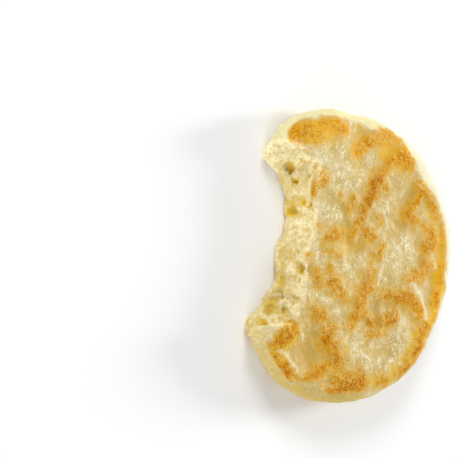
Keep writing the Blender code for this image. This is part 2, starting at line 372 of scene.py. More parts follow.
# Where skin reaches over the torn edge, and then where crumb reaches past it, in that form.
SKIN_TONGUES = (
    (315, 187, 8, 13, 1.0),
    (311, 256, 6, 6, 0.9),
    (311, 270, 5, 6, 0.8),
    (322, 200, 8, 10, 0.6),
    (300, 327, 9, 5, 0.7),
    (313, 150, 10, 10, 0.7),
    (272, 334, 14, 5, 0.8),
)
CRUMB_REACHES = (
    (313, 166, 4, 6, 0.5),
    (312, 209, 4, 5, 0.7),
    (313, 232, 4, 12, 0.4),
    (304, 277, 4, 6, 0.5),
    (262, 326, 5, 3, 0.5),
    (284, 325, 7, 3, 0.6),
)


# ---- noise and small maths


def smooth_step(value, low=0.0, high=1.0):
    """0 at low, 1 at high, with a smooth rise between."""
    held = np.clip((value - low) / (high - low), 0.0, 1.0)
    return held * held * (3.0 - 2.0 * held)


def lattice_directions(cell, seed):
    """A pseudo-random direction for each lattice cell."""
    mixed = (cell * np.array((73856093, 19349663, 83492791))).sum(axis=1) + seed * 2654435761
    mixed = (mixed ^ (mixed >> 13)) * 1274126177
    mixed = np.abs(mixed ^ (mixed >> 16))
    parts = [(mixed >> shift) % 1021 / 510.0 - 1.0 for shift in (0, 10, 20)]
    return np.stack(parts, axis=1)


def noise(points, size, seed):
    """Smooth noise of about -1 to 1, with lumps of this size."""
    scaled = points / size
    cell = np.floor(scaled).astype(np.int64)
    part = scaled - cell
    ease = part**3 * (part * (part * 6.0 - 15.0) + 10.0)
    total = np.zeros(len(points))
    for corner in itertools.product((0, 1), repeat=3):
        corner = np.array(corner)
        reach = (lattice_directions(cell + corner, seed) * (part - corner)).sum(axis=1)
        weight = np.where(corner == 1, ease, 1.0 - ease).prod(axis=1)
        total += weight * reach
    return total * 1.5


def layered_noise(points, size, layers, seed):
    """Noise with finer and weaker layers on top."""
    total, share = np.zeros(len(points)), 1.0
    for layer in range(layers):
        total += share * noise(points, size / 2**layer, seed + 31 * layer)
        share *= 0.55
    return total


def unit(vectors):
    """The vectors at a length of 1."""
    return vectors / np.linalg.norm(vectors, axis=1)[:, None]


# ---- meshes as arrays


def read(mesh, what="co"):
    """The mesh's points or normals as an array."""
    values = np.empty(len(mesh.vertices) * 3, np.float32)
    mesh.vertices.foreach_get(what, values)
    return values.reshape(-1, 3).astype(float)


def move(mesh, points):
    mesh.vertices.foreach_set("co", points.astype(np.float32).ravel())
    mesh.update()


def edges_of(mesh):
    values = np.empty(len(mesh.edges) * 2, np.int32)
    mesh.edges.foreach_get("vertices", values)
    return values.reshape(-1, 2)


def neighbour_mean(values, edges):
    """The mean of each point's neighbours."""
    first, second = edges.T
    count = np.bincount(edges.ravel(), minlength=len(values))
    columns = values.reshape(len(values), -1).T
    sums = [
        np.bincount(first, column[second], len(values))
        + np.bincount(second, column[first], len(values))
        for column in columns
    ]
    return (np.stack(sums, axis=1) / count[:, None]).reshape(values.shape)


def evened(points, edges, rounds, weight=1.0):
    """Smooth without shrinking, as much as weight says at each point."""
    weight = np.broadcast_to(weight, (len(points),))[:, None]
    for _ in range(rounds):
        for push in (0.5, -0.52):
            points = points + weight * push * (neighbour_mean(points, edges) - points)
    return points


def spread(values, edges, rounds):
    """Blur a value over the mesh."""
    for _ in range(rounds):
        values = 0.5 * values + 0.5 * neighbour_mean(values, edges)
    return values


def bake_modifiers(piece):
    """Replace the piece's mesh by what its modifiers make of it."""
    bpy.context.view_layer.update()
    graph = bpy.context.evaluated_depsgraph_get()
    made = bpy.data.meshes.new_from_object(piece.evaluated_get(graph))
    old = piece.data
    piece.modifiers.clear()
    piece.data = made
    bpy.data.meshes.remove(old)


def remesh(piece, voxel):
    modifier = piece.modifiers.new("remesh", "REMESH")
    modifier.mode = "VOXEL"
    modifier.voxel_size = voxel
    bake_modifiers(piece)


def add_object(name, data):
    made = bpy.data.objects.new(name, data)
    bpy.context.scene.collection.objects.link(made)
    return made


def add_attribute(mesh, name, values):
    """Store a value from 0 to 1 at each point, for the material."""
    attribute = mesh.attributes.new(name, "FLOAT", "POINT")
    attribute.data.foreach_set("value", np.clip(values, 0.0, 1.0).astype(np.float32))


# ---- camera


def through_pixel(across, down):
    """The way through this pixel of the photograph, in the camera's own frame."""
    return Vector(((across - HALF_FRAME) / FOCAL, (HALF_FRAME - down) / FOCAL, -1.0))


def make_camera():
    """Look down at the face as the photograph does, with the raised lobe up in the picture."""
    elevation = math.radians(CAMERA_ELEVATION)
    back = Vector((0.0, -math.cos(elevation), math.sin(elevation)))
    across = Vector((-1.0, 0.0, 0.0)).cross(back).normalized()
    upward = back.cross(across)
    facing = Matrix((across, upward, back)).transposed()
    turn = Vector((0.0, 0.0, -1.0)).rotation_difference(through_pixel(*MIDDLE_PIXEL)).to_matrix()
    data = bpy.data.cameras.new("camera")
    data.lens = LENS
    data.sensor_width = SENSOR
    camera = add_object("camera", data)
    place = MIDDLE_PLACE + back * CAMERA_DISTANCE
    camera.matrix_world = Matrix.Translation(place) @ (facing @ turn.inverted()).to_4x4()
    bpy.context.scene.camera = camera
    return camera


def seen_spots(points, camera, spots):
    """The sum of soft spots, placed as the photograph shows them, at each point."""
    local = (points - np.array(camera.location)) @ np.array(camera.matrix_world.to_3x3())
    across = HALF_FRAME - FOCAL * local[:, 0] / local[:, 2]
    down = HALF_FRAME + FOCAL * local[:, 1] / local[:, 2]
    total = np.zeros(len(points))
    for x, y, wide, tall, strength in spots:
        total += strength * np.exp(-(((across - x) / wide) ** 2) - ((down - y) / tall) ** 2)
    return total


# ---- form


def edge_samples(corners):
    """Evenly spaced places along a torn edge, in metres."""
    corners = np.array(corners, float) * MM + ROUND_MIDDLE
    reach = np.concatenate([[0.0], np.cumsum(np.hypot(*np.diff(corners, axis=0).T))])
    share = np.linspace(0.0, reach[-1], EDGE_SAMPLES)
    return np.stack([np.interp(share, reach, corners[:, axis]) for axis in (0, 1)], axis=1)


def torn_share(points, normals):
    """How much each point belongs to the torn wall of the bite rather than to the skin."""
    lower, upper = edge_samples(BITE_LOWER_EDGE), edge_samples(BITE_UPPER_EDGE)
    torn = np.zeros(len(points))
    near = np.flatnonzero(points[:, 1] < 2 * MM)
    for part in np.array_split(near, max(1, len(near) // POINTS_AT_ONCE)):
        climb = smooth_step(points[part, 2] / THICKNESS)[:, None, None]
        edge = lower[None] * (1 - climb) + upper[None] * climb
        gap = points[part, None, :2] - edge
        distance = np.hypot(gap[..., 0], gap[..., 1])
        nearest = distance.argmin(axis=1)
        rows = np.arange(len(part))
        after = edge[rows, np.minimum(nearest + 4, EDGE_SAMPLES - 1)]
        before = edge[rows, np.maximum(nearest - 4, 0)]
        along = after - before
        outward = unit(np.stack([along[:, 1], -along[:, 0]], axis=1))
        facing = (normals[part, :2] * outward).sum(axis=1)
        close = 1.0 - smooth_step(distance[rows, nearest], 2.4 * MM, 4.0 * MM)
        torn[part] = close * smooth_step(facing, 0.05, 0.45)
    return torn


def make_base():
    """The solid's form without its facets, and which of its points are torn crumb."""
    piece = add_object("blini_dressed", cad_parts["blini"].data.copy())
    remesh(piece, COARSE_VOXEL)
    mesh = piece.data
    edges = edges_of(mesh)
    torn = torn_share(read(mesh), read(mesh, "normal"))
    torn = np.maximum(torn, spread(torn, edges, 3))
    points = evened(read(mesh), edges, 18, 1.0 - 0.6 * torn)
    lip = spread(torn, edges, 4)
    lip = smooth_step(4.0 * lip * (1.0 - lip)) * smooth_step(points[:, 2], 7.5 * MM, 10.0 * MM)
    lip *= 1.0 - 0.7 * smooth_step(points[:, 0], 0.0, 10.0 * MM)
    for _ in range(10):
        points += 0.5 * lip[:, None] * (neighbour_mean(points, edges) - points)
    move(mesh, points)
    return piece, torn


def ball_mesh():
    """A small icosphere's points and faces."""
    ball = bmesh.new()
    bmesh.ops.create_icosphere(ball, subdivisions=3, radius=1.0)
    points = np.array([vert.co[:] for vert in ball.verts])
    faces = np.array([[vert.index for vert in face.verts] for face in ball.faces])
    ball.free()
    return points, faces


def seen_hole_places(camera, base):
    """Centres, axes and radii of the holes that the photograph shows in the crumb."""
    tree = BVHTree.FromPolygons(
        [vert.co for vert in base.vertices], [face.vertices[:] for face in base.polygons]
    )
    view = camera.matrix_world.to_3x3()
    across, upward, back = (view.col[axis] for axis in range(3))
    holes = []
    for pixel_x, pixel_y, radius, wide, tall in SEEN_HOLES:
        ray = (view @ through_pixel(pixel_x, pixel_y)).normalized()
        hit = tree.ray_cast(camera.location, ray)[0]
        size = radius * MM
        axes = Matrix((across * wide, upward * tall, back * 0.85)).transposed() * size
        place = hit + back * size * 0.2
        place.z = max(place.z, 1.5 * size * max(wide, tall, 1.1))
        holes.append((place, axes, size))
    return holes


def strewn_hole_places(points, normals, torn, rng, taken):
    """Smaller bubbles over the crumb, clear of one another and denser toward the far horn."""
    candidates = np.flatnonzero(torn > 0.75)
    holes = []
    centres = [np.array(place) for place, _, _ in taken]
    sizes = [size for _, _, size in taken]
    for _ in range(BUBBLE_TRIES):
        index = candidates[rng.integers(len(candidates))]
        if rng.random() > smooth_step(points[index, 0] / MM, -10.0, 16.0):
            continue
        size = (0.3 + 0.4 * rng.random() ** 4) * MM
        place = points[index] - normals[index] * size * rng.uniform(-0.5, 0.05)
        gaps = np.linalg.norm(np.array(centres) - place, axis=1)
        if (gaps < 1.05 * (np.array(sizes) + size)).any():
            continue
        stretch = np.diag(rng.uniform(0.75, 1.35, 3))
        turn = Matrix.Rotation(rng.uniform(0, math.pi), 3, Vector(rng.normal(size=3)).normalized())
        holes.append((Vector(place), turn @ Matrix(stretch.tolist()) * size, size))
        centres.append(place)
        sizes.append(size)
        if len(holes) == BUBBLES:
            break
    return holes


def open_bubbles(piece, torn, camera):
    """Cut the torn bubbles out of the crumb, and return them."""
    rng = np.random.default_rng(SEED)
    mesh = piece.data
    holes = seen_hole_places(camera, mesh)
    holes += strewn_hole_places(read(mesh), read(mesh, "normal"), torn, rng, holes)
    ball, ball_faces = ball_mesh()
    points, faces = [], []
    for number, (place, axes, size) in enumerate(holes):
        lump = 1.0 + 0.22 * noise(ball + number * 5.3, 0.9, SEED)
        points.append((ball * lump[:, None]) @ np.array(axes).T + np.array(place))
        faces.append(ball_faces + number * len(ball))
    data = bpy.data.meshes.new("bubbles")
    data.from_pydata(np.concatenate(points).tolist(), [], np.concatenate(faces).tolist())
    bubbles = add_object("bubbles", data)
    remesh(bubbles, BUBBLE_VOXEL)
    modifier = piece.modifiers.new("bubbles", "BOOLEAN")
    modifier.operation = "DIFFERENCE"
    modifier.solver = "MANIFOLD"
    modifier.object = bubbles
    bake_modifiers(piece)
    bpy.data.objects.remove(bubbles)
    return holes


def keep_largest(mesh):
    """Delete loose scraps, so that one closed body is left."""
    work = bmesh.new()
    work.from_mesh(mesh)
    seen, bodies = set(), []
    for start in work.verts:
        if start.index in seen:
            continue
        seen.add(start.index)
        body = [start]
        for vert in body:  # the body grows while it is walked
            for edge in vert.link_edges:
                other = edge.other_vert(vert)
                if other.index not in seen:
                    seen.add(other.index)
                    body.append(other)
        bodies.append(body)
    bodies.sort(key=len)
    loose = [vert for body in bodies[:-1] for vert in body]
    bmesh.ops.delete(work, geom=loose, context="VERTS")
    work.to_mesh(mesh)
    work.free()


def nearest_values(points, source_points, source_values):
    """Each point's value, taken from the nearest source point."""
    tree = KDTree(len(source_points))
    for index, place in enumerate(source_points):
        tree.insert(place, index)
    tree.balance()
    found = np.array([tree.find(place)[1] for place in points])
    return source_values[found]


def thin_underside(piece):
    """Merge the small faces of the flat underside."""
    mesh = piece.data
    points = read(mesh)
    flat = np.flatnonzero(points[:, 2] < UNDERSIDE_HEIGHT)
    group = piece.vertex_groups.new(name="underside")
    group.add([int(index) for index in flat], 1.0, "REPLACE")
    modifier = piece.modifiers.new("thin", "DECIMATE")
    modifier.ratio = 1.0 - (1.0 - UNDERSIDE_SHARE) * len(flat) / len(points)
    modifier.vertex_group = "underside"
    modifier.vertex_group_factor = 1000.0
    bake_modifiers(piece)
    piece.vertex_groups.clear()


# ---- skin


def stroke_field(face, strokes, spread_by):
    """The strongest stroke at each place on the face, with soft edges."""
    best = np.zeros(len(face))
    for strength, width, places in strokes:
        for start, end in zip(places, places[1:]):
            start, run = np.array(start), np.array(end) - np.array(start)
            share = np.clip(((face - start) @ run) / (run @ run), 0.0, 1.0)
            away = np.linalg.norm(face - start - share[:, None] * run, axis=1)
            best = np.maximum(best, strength * np.exp(-((away / (spread_by * width)) ** 2)))
    return best


def seen_on_face(points, camera):
    """Where each point shows on a flat face at FACE_HEIGHT, seen from the camera, in mm."""
    eye = np.array(camera.location)
    share = (FACE_HEIGHT - eye[2]) / (points[:, 2] - eye[2])
    return ((eye + share[:, None] * (points - eye)) - FACE_START)[:, :2] / MM


def skin_fields(points, normals, camera):
    """How far each point is on the face, browned, toasted, raised, on a ridge with painted
    highlights, smooth and amber.
    """
    mm = points / MM
    on_face = smooth_step(normals[:, 2], 0.25, 0.75) * smooth_step(mm[:, 2], 7.0, 10.0)
    bite_side = 1.0 - smooth_step(mm[:, 1], -16.0, -12.0)
    on_face = np.maximum(on_face, smooth_step(mm[:, 2], 9.0, 10.5) * bite_side)
    face = seen_on_face(points, camera)
    warp = np.stack([layered_noise(mm, 3.4, 3, seed) for seed in (11, 12)], axis=1)
    ragged = np.stack([layered_noise(mm, 1.3, 2, seed) for seed in (13, 14)], axis=1)
    warped = face + 0.5 * warp + 0.4 * ragged
    patchy = 1.0 + 0.5 * layered_noise(mm, 2.6, 3, 15)
    level = smooth_step(normals[:, 2], 0.6, 0.95)
    # Painted highlights on the side of each browned ridge turned away from the bite, toward the
    # light.
    behind = stroke_field(face + 0.6 * warp - 3.0 * NEAR_SIDE, BROWNED, 0.8)
    behind *= 1.0 - smooth_step(face[:, 1], 31.0, 37.0)
    # Toasted halo shifted toward the bite, as painted shade on the side of each ridge away from
    # the light.
    beside = warped + 0.5 * warp + NEAR_SIDE
    fields = {
        "browned": stroke_field(warped, BROWNED, 0.6) * patchy,
        "toasted": stroke_field(beside, BROWNED, 1.18) * (0.6 + 0.4 * patchy),
        "raised": stroke_field(face + 0.4 * warp, BROWNED, 0.75) * level,
        "ridges": np.maximum(stroke_field(face + 0.5 * warp, GLINT_RIDGES, 0.8), 0.4 * behind),
        "smooth": stroke_field(face + 1.6 * warp, SMOOTH_PLACES, 0.7),
        "amber": stroke_field(face + 1.6 * warp, AMBER_PLACES, 0.7),
    }
    rim = stroke_field(face + 0.8 * warp, RIM_PLACES, 0.8)
    on_face *= 1.0 - smooth_step(rim - 0.6 * fields["browned"], 0.2, 0.8)
    return {"face": on_face, **{name: value * on_face for name, value in fields.items()}}


def underside_browning(points, normals):
    """The underside browned in rings and blotches, as the face did in the pan."""
    mm = points / MM
    below = smooth_step(-normals[:, 2], 0.3, 0.8) * (1.0 - smooth_step(mm[:, 2], 1.5, 4.0))
    veins = 1.0 - np.abs(layered_noise(mm + 50.0, 12.0, 3, 21)) * 2.6
    return below * smooth_step(veins, 0.2, 0.95)


def cells(points, size, seed):
    """Distance to the nearest of scattered cell middles, in shares of the cell size."""
    scaled = points / size
    cell = np.floor(scaled).astype(np.int64)
    best = np.full(len(points), 9.0)
    for step in itertools.product((-1, 0, 1), repeat=3):
        near = cell + np.array(step)
        middle = near + 0.5 + 0.46 * lattice_directions(near, seed)
        best = np.minimum(best, np.linalg.norm(scaled - middle, axis=1))
    return best


def relief(points, torn, fields, camera):
    """How far each point stands out, in metres. The heights and lump sizes are in mm."""
    mm = points / MM
    rough = 1.0 - 0.85 * np.clip(fields["smooth"], 0.0, 1.0)
    lumps = 0.34 * layered_noise(mm, 5.5, 2, 1) + 0.12 * layered_noise(mm, 2.6, 2, 17)
    stretched = mm * np.array((0.62, 1.0, 1.0))
    creases = np.abs(layered_noise(stretched, 2.2, 2, 2))
    wrinkles = 0.05 * (0.3 - creases)
    grain = 0.06 * layered_noise(stretched, 1.1, 2, 3)
    skin = lumps + rough * (wrinkles + grain) * (0.3 + 0.7 * fields["face"])
    skin += 0.75 * fields["raised"] - 0.4 * fields["smooth"]
    skin += 0.12 * fields["ridges"] * (1.0 + 1.6 * noise(stretched, 0.9, 24))
    along = (points - FACE_START)[:, 0] / MM
    openness = 0.35 + 0.65 * smooth_step(along, 5.0, 13.0) + 0.35 * noise(mm, 5.0, 6)
    bowls = 0.34 * cells(mm + 0.4 * noise(mm, 1.5, 8)[:, None], 2.6, 9) ** 2
    bowls += 0.4 * cells(mm, 1.2, 10) ** 2
    crumb = 0.38 * layered_noise(mm, 4.5, 2, 4) + 0.16 * layered_noise(mm, 1.5, 3, 5)
    crumb *= 0.55 + 0.45 * smooth_step(along, -14.0, 4.0)
    crumb += np.clip(openness, 0.2, 0.9) * (bowls - 0.25)
    crumb += seen_spots(points, camera, SEEN_FORMS)
    under = 1.0 - smooth_step(mm[:, 2], 0.2, 1.6)
    height = skin * (1.0 - torn) + crumb * torn
    return height * (1.0 - under) * MM


def ragged_torn_share(points, edges, base_points, base_torn, holes, camera):
    """The torn share of each fine point, with a ragged line between the crumb and the skin."""
    torn = spread(nearest_values(points, base_points, base_torn), edges, 2)
    torn += 0.3 * layered_noise(points / MM, 2.2, 3, 19)
    torn -= seen_spots(points, camera, SKIN_TONGUES)
    torn = smooth_step(torn + seen_spots(points, camera, CRUMB_REACHES) * (torn > 0.1), 0.4, 0.85)
    for place, _, size in holes:
        torn[np.linalg.norm(points - np.array(place), axis=1) < 1.3 * size] = 1.0
    return torn


def paint(mesh, points, normals, edges, torn, fields, camera):
    """Store what the material reads at each point."""
    # Depth below the smoothed surround: the material paints shade into hollows and light onto
    # crests from it.
    flattened = spread(evened(points, edges, 1), edges, 18)
    outward = unit(spread(normals, edges, 15))
    hollow = ((flattened - points) * outward).sum(axis=1) / MM
    # More painted shade in the crumb's sunken forms.
    hollow += 0.3 * torn * np.clip(-seen_spots(points, camera, SEEN_FORMS), 0.0, 1.0)
    bled = spread(torn, edges, 40)
    edge = np.maximum(torn, smooth_step(bled, 0.03, 0.4))
    # Less painted light on crests near the torn edge.
    hollow = np.maximum(hollow, -1.0 + 0.88 * edge)
    bled = bled + 0.45 * layered_noise(points / MM, 2.2, 3, 23) * (torn < 0.98) * (bled > 0.02)
    browned = np.maximum(fields["browned"], underside_browning(points, normals))
    low = 1.0 - smooth_step(points[:, 2] / MM, 1.0, 3.0)
    skin = 1.0 - torn
    # Painted shade in the holes.
    pits = [
        (x, y - 1.4 * size, 3.9 * size * wide - 0.5, 5.6 * size * tall - 0.6, 1.0)
        for x, y, size, wide, tall in SEEN_HOLES
    ]
    painted = {
        "browned": browned,
        "toasted": np.maximum(fields["toasted"], 0.8 * browned),
        "smooth": fields["smooth"] * skin * (1.0 - fields["ridges"]),
        "amber": fields["amber"] * skin,
        "ridges": fields["ridges"] * skin,
        "face": np.maximum(fields["face"], low),
        "torn": torn,
        "crumb": smooth_step(bled, 0.15, 0.95),
        "pits": torn * seen_spots(points, camera, pits),
        # Painted shade in the crumb's shaded hollows and folds.
        "stains": torn * seen_spots(points, camera, SEEN_HOLLOW_SHADE),
        "hollow": 0.5 + 0.5 * np.tanh(2.0 * hollow),
    }
    for name, values in painted.items():
        add_attribute(mesh, name, values)


def dress_blini(camera):
    """The blini as one dense mesh: its form, the bubbles, the relief and what is painted."""
    piece, base_torn = make_base()
    base_points = read(piece.data)
    holes = open_bubbles(piece, base_torn, camera)
    remesh(piece, FINE_VOXEL)
    keep_largest(piece.data)
    thin_underside(piece)
    mesh = piece.data
    edges = edges_of(mesh)
    points = read(mesh)
    torn = ragged_torn_share(points, edges, base_points, base_torn, holes, camera)
    points = evened(points, edges, 3, 1.0 - 0.4 * torn)
    move(mesh, points)
    normals = unit(spread(read(mesh, "normal"), edges, 3))
    fields = skin_fields(points, normals, camera)
    points = points + normals * relief(points, torn, fields, camera)[:, None]
    points[:, 2] = np.maximum(points[:, 2], 0.0)
    move(mesh, points)
    paint(mesh, points, normals, edges, torn, fields, camera)
    mesh.shade_smooth()
    return piece


# ---- materials

EVEN = (1.0, 1.0, 1.0)


class Nodes:
    """Short names for building a material's nodes."""

    def __init__(self, name):
        self.material = bpy.data.materials.new(name)
        self.material.use_nodes = True
        self.tree = self.material.node_tree
        self.shader = self.tree.nodes["Principled BSDF"]
        self.place = self.new("ShaderNodeTexCoord").outputs["Object"]

    def axes(self):
        parts = self.new("ShaderNodeSeparateXYZ")
        self.link(self.place, parts.inputs[0])
        return parts.outputs

    def new(self, kind, **settings):
        made = self.tree.nodes.new(kind)
        for key, value in settings.items():
            setattr(made, key, value)
        return made

    def link(self, source, target):
        """Feed a number, a colour or another node's value to an input."""
        if isinstance(source, (int, float)):
            target.default_value = source
        elif isinstance(source, tuple):
            target.default_value = (*source, 1.0)
        else:
            self.tree.links.new(source, target)

    def attribute(self, name):
        return self.new("ShaderNodeAttribute", attribute_name=name).outputs["Fac"]

    def stretched(self, source, stretch):
        mapping = self.new("ShaderNodeMapping")
        mapping.inputs["Scale"].default_value = stretch
        self.link(source, mapping.inputs["Vector"])
        return mapping.outputs["Vector"]

    def noise(self, size, detail, rough=0.55, stretch=EVEN, swirl=0.0):
        """Smooth noise from -0.5 to 0.5, with lumps of this size."""
        made = self.new("ShaderNodeTexNoise")
        self.link(self.stretched(self.place, stretch), made.inputs["Vector"])
        made.inputs["Scale"].default_value = 1.0 / size
        made.inputs["Detail"].default_value = detail
        made.inputs["Roughness"].default_value = rough
        made.inputs["Distortion"].default_value = swirl
        return self.centred(made.outputs["Fac"])

    def cells(self, size, stretch=EVEN):
        """A random value for each small cell, from -0.5 to 0.5, and the way to its middle."""
        made = self.new("ShaderNodeTexVoronoi")
        self.link(self.stretched(self.place, stretch), made.inputs["Vector"])
        made.inputs["Scale"].default_value = 1.0 / size
        parts = self.new("ShaderNodeSeparateColor")
        self.link(made.outputs["Color"], parts.inputs[0])
        return self.centred(parts.outputs[0]), self.centred(made.outputs["Distance"])

    def net(self, size, stretch):
        """1 on the thin lines between small cells, 0 away from them."""
        sway = self.new("ShaderNodeTexNoise")
        self.link(self.place, sway.inputs["Vector"])
        sway.inputs["Scale"].default_value = 0.7 / size
        moved = self.new("ShaderNodeVectorMath", operation="MULTIPLY_ADD")
        self.link(sway.outputs["Color"], moved.inputs[0])
        moved.inputs[1].default_value = (1.6 * size,) * 3
        self.link(self.place, moved.inputs[2])
        made = self.new("ShaderNodeTexVoronoi", feature="DISTANCE_TO_EDGE")
        self.link(self.stretched(moved.outputs[0], stretch), made.inputs["Vector"])
        made.inputs["Scale"].default_value = 1.0 / size
        return self.ramp(made.outputs["Distance"], 0.0, 0.13, 1.0, 0.0)

    def math(self, operation, first, second, clamp=False):
        made = self.new("ShaderNodeMath", operation=operation, use_clamp=clamp)
        self.link(first, made.inputs[0])
        self.link(second, made.inputs[1])
        return made.outputs[0]

    def ramp(self, value, low, high, to_low=0.0, to_high=1.0):
        """to_low at low, to_high at high, with a smooth change between."""
        made = self.new("ShaderNodeMapRange", interpolation_type="SMOOTHSTEP")
        for socket, number in zip(made.inputs[1:5], (low, high, to_low, to_high)):
            socket.default_value = number
        self.link(value, made.inputs[0])
        return made.outputs[0]

    def centred(self, value):
        return self.math("SUBTRACT", value, 0.5)

    def total(self, *parts):
        """The sum of values with their weights, and of plain numbers."""
        made = float(sum(part for part in parts if not isinstance(part, tuple)))
        for value, weight in (part for part in parts if isinstance(part, tuple)):
            scaled = self.new("ShaderNodeMath", operation="MULTIPLY_ADD")
            for socket, source in zip(scaled.inputs, (value, float(weight), made)):
                self.link(source, socket)
            made = scaled.outputs[0]
        return made

    def gradient(self, value, stops):
        made = self.new("ShaderNodeValToRGB")
        places = made.color_ramp.elements
        for stop in stops[2:]:
            places.new(stop[0])
        for place, (position, colour) in zip(places, stops):
            place.position = position
            place.color = (*colour, 1.0)
        self.link(value, made.inputs[0])
        return made.outputs[0]

    def mix(self, share, first, second):
        made = self.new("ShaderNodeMix", data_type="RGBA")
        self.link(share, made.inputs["Factor"])
        self.link(first, made.inputs[6])
        self.link(second, made.inputs[7])
        return made.outputs[2]


def srgb(red, green, blue):
    """A linear colour from the 0 to 255 numbers of a picture."""
    parts = [value / 255.0 for value in (red, green, blue)]
    return tuple(p / 12.92 if p <= 0.04045 else ((p + 0.055) / 1.055) ** 2.4 for p in parts)


# Pale skin tones: painted shade where the skin lies low, painted light where it stands up.
SHADED_LOW_SKIN = srgb(201, 168, 83)
SKIN = srgb(216, 194, 131)
LIT_PALE_SKIN = srgb(238, 225, 182)
GLINT = srgb(252, 243, 210)
# Painted highlights on the browned skin.
BROWN_GLINT = srgb(240, 186, 56)
# Painted highlights: pale sparkles in the browned skin.
SPARKLE_HIGHLIGHT = srgb(252, 220, 132)
OLIVE_SKIN = srgb(193, 157, 69)
AMBER_SKIN = srgb(232, 188, 60)
RIM = srgb(245, 230, 172)
# Painted shade on the rim away from the lobe and the bite.
SHADED_RIM = srgb(214, 185, 101)
# Painted light on the rim toward the lobe.
LIT_TOP_RIM = srgb(250, 237, 178)
# Painted light: the backlit fringe along the far upper edge of the rim.
LIT_FAR_RIM = srgb(248, 239, 206)
TAN = srgb(219, 174, 58)
GOLDEN = srgb(216, 154, 14)
# Painted light on the browning at the lobe and along the far rim.
LIT_GOLD = srgb(252, 180, 20)
BROWN = srgb(202, 127, 2)
DARK_BROWN = srgb(176, 98, 4)
# Crumb tones: painted light on its crests, painted shade as deeper yellow in its hollows.
PALE_CRUMB = srgb(250, 239, 194)
CRUMB = srgb(223, 203, 146)
CRUMB_LOW = srgb(224, 192, 92)
# Painted shade over the crumb, growing away from the lobe.
SHADED_CRUMB = srgb(200, 178, 112)
CRUMB_HOLLOW_SHADE = srgb(214, 180, 62)
# Painted shade in the crumb's holes.
SHADED_PIT = srgb(218, 174, 40)


def mixing_parts(make):
    """What the blini's looks are mixed from: grains, the mesh's attributes and places."""
    x, y, z = make.axes()
    grit, _ = make.cells(0.36 * MM, (0.8, 1.0, 1.0))
    _, pores = make.cells(1.1 * MM)
    on_skin = ("browned", "toasted", "smooth", "amber", "ridges", "face")
    in_crumb = ("torn", "crumb", "pits", "stains")
    return SimpleNamespace(
        x=x, y=y, z=z, grit=grit, pores=pores,
        broad=make.noise(6.0 * MM, 3.0),
        middle=make.noise(1.6 * MM, 3.0),
        fibre=make.noise(0.44 * MM, 3.0, 0.75, (0.42, 1.0, 1.0), 0.5),
        speck=make.noise(0.38 * MM, 2.0, 0.7, (0.7, 1.0, 1.0)),
        net=make.net(1.5 * MM, (0.5, 1.0, 1.0)),
        recessed=make.centred(make.attribute("hollow")),
        **{name: make.attribute(name) for name in on_skin + in_crumb},
    )


def amber_share(make, at):
    share = make.total((at.amber, 0.9), (at.middle, 0.6), (at.fibre, 0.3), (at.grit, 0.15))
    return make.ramp(share, 0.1, 0.8, 0.0, 0.95)


def pale_colour(make, at, amber):
    """Unbrowned skin: its grain, with painted light where it stands up, painted shade (darker
    yellow) where it lies low, and painted glints along its ridges.
    """
    grain = ((at.broad, 0.9), (at.fibre, 0.4), (at.speck, 0.7), (at.grit, 0.3))
    # Painted shade in hollows and painted light on crests, over the grain.
    grain_and_shade = make.total(*grain, (at.recessed, -1.8), 0.45)
    skin = make.gradient(grain_and_shade, ((0.12, SHADED_LOW_SKIN), (0.46, SKIN), (0.78, LIT_PALE_SKIN)))
    skin = make.mix(make.math("MULTIPLY", at.smooth, 0.9, clamp=True), skin, OLIVE_SKIN)
    skin = make.mix(amber, skin, AMBER_SKIN)
    # Painted glints along the ridges and the fine grain.
    ridge_glint = make.total((at.ridges, 0.8), (at.middle, 1.0), (at.fibre, 1.3), (at.grit, 0.4))
    ridge_glint = make.total((at.net, 0.34), (at.smooth, -0.2), (ridge_glint, 1.0))
    return make.mix(make.ramp(ridge_glint, 0.28, 0.88, 0.0, 0.8), skin, GLINT)


def rim_colour(make, at):
    """The rim: paler toward the lobe and the bite as painted light, darker away from them as
    painted shade, with a painted light fringe along the far upper edge.
    """
    # Painted light toward the lobe and the bite, painted shade away from them, over the grain.
    light_and_grain = make.total((at.x, -13.0), (at.y, -8.0), 0.45)
    light_and_grain = make.total((at.broad, 0.9), (at.middle, 0.3), (at.fibre, 0.3), (light_and_grain, 1.0))
    rim = make.gradient(light_and_grain, ((0.1, SHADED_RIM), (0.75, RIM), (0.98, LIT_TOP_RIM)))
    # Painted light: a pale fringe along the far upper edge.
    far = make.ramp(at.y, 14 * MM, 26 * MM, 0.0, 0.9)
    high = make.ramp(at.z, 7 * MM, 9.5 * MM)
    return make.mix(make.math("MULTIPLY", far, high), rim, LIT_FAR_RIM)


def toast_depth(make, at):
    """How deeply the skin is baked, with grains where it is toasted."""
    grains = make.total((at.middle, 0.9), (at.fibre, 1.3), (at.speck, 0.9), (at.grit, 0.7))
    reach = make.math("ADD", make.math("MULTIPLY", at.toasted, 1.3, clamp=True), 0.06)
    grains = make.math("MULTIPLY", grains, reach)
    return make.total((at.browned, 0.54), (at.toasted, 0.34), (grains, 0.95))


def baked_colour(make, at, toast):
    """From a tan edge over gold to brown, with painted light making it brighter at the lobe and
    along the far rim.
    """
    baked_tone = make.gradient(toast, ((0.22, TAN), (0.52, GOLDEN), (0.78, BROWN), (0.98, DARK_BROWN)))
    # Painted light at the lobe and along the far rim, sparing the darkest grains.
    lobe = make.ramp(at.x, -34 * MM, -20 * MM, 0.46, 0.0)
    far = make.ramp(at.y, 17 * MM, 27 * MM, 0.0, 0.34)
    light = make.ramp(toast, 0.5, 0.9, 1.0, 0.15)
    painted_light = make.math("MULTIPLY", make.math("MAXIMUM", lobe, far), light)
    return make.mix(painted_light, baked_tone, LIT_GOLD)


